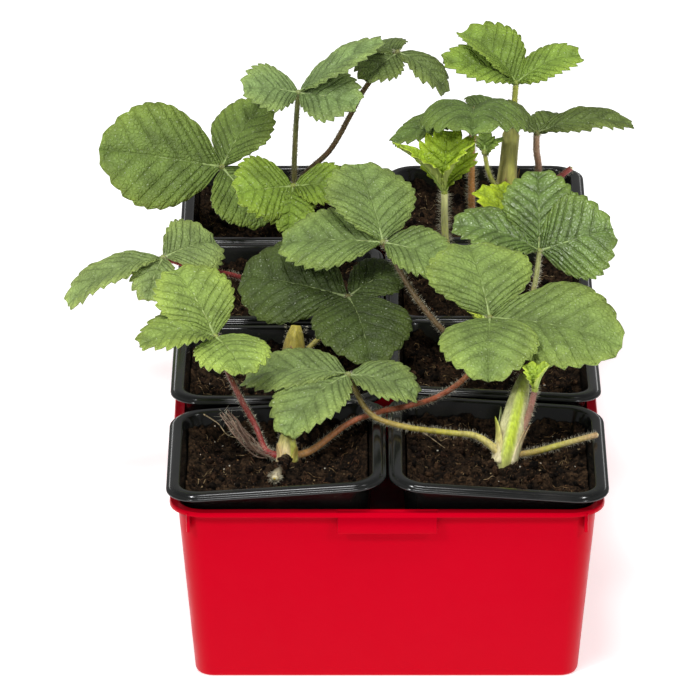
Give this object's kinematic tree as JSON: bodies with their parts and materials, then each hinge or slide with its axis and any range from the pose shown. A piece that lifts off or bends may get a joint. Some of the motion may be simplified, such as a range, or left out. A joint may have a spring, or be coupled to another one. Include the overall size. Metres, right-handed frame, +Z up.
{
  "type": "potted strawberry plant",
  "caption": "Potted strawberry plants with toothed three-part leaves, in square black pots held side by side by one red carrying tray.",
  "frame": {"origin": "middle of the tray's underside, on the surface it stands on", "axes": "+Z up; +X to the right seen from the label-plate end; +Y along the long side, away from the front label plate"},
  "size_m": [0.2479, 0.3653, 0.1714],
  "materials": {
    "tray": "thin red thermoformed plastic, half gloss",
    "pot": "thin black plastic, glossy",
    "soil": "dark crumbly potting soil, matte",
    "stem": "living plant stalk with fine hairs",
    "leaf": "living strawberry leaf, matte green",
    "young": "young strawberry leaf, bright green"
  },
  "bodies": {
    "root": {"tray": "tray", "pot_front_left": "pot", "soil_front_left": "soil", "crown_front_left": "stem", "leaf_front_left_rising": "leaf", "leaf_front_left_reaching": "leaf", "pot_front_right": "pot", "soil_front_right": "soil", "crown_front_right": "stem", "leaf_front_right_low": "leaf", "leaf_front_right_bud": "young", "pot_second_left": "pot", "soil_second_left": "soil", "crown_second_left": "stem", "leaf_second_left_dark": "leaf", "pot_second_right": "pot", "soil_second_right": "soil", "crown_second_right": "stem", "leaf_second_right_tall": "leaf", "leaf_second_right_side": "leaf", "leaf_second_right_bud": "young", "pot_third_left": "pot", "soil_third_left": "soil", "crown_third_left": "stem", "leaf_third_left_outer": "leaf", "leaf_third_left_inner": "young", "pot_third_right": "pot", "soil_third_right": "soil", "crown_third_right": "stem", "leaf_third_right_fan": "young", "leaf_third_right_high": "leaf", "leaf_third_right_bright": "young", "pot_back_left": "pot", "soil_back_left": "soil", "crown_back_left": "stem", "leaf_back_left_top": "leaf", "leaf_back_left_arched": "leaf", "leaf_back_left_broad": "leaf", "pot_back_right": "pot", "soil_back_right": "soil", "crown_back_right": "stem", "leaf_back_right_crest": "leaf", "leaf_back_right_outer": "leaf", "leaf_back_right_small": "young"}
  },
  "joints": []
}
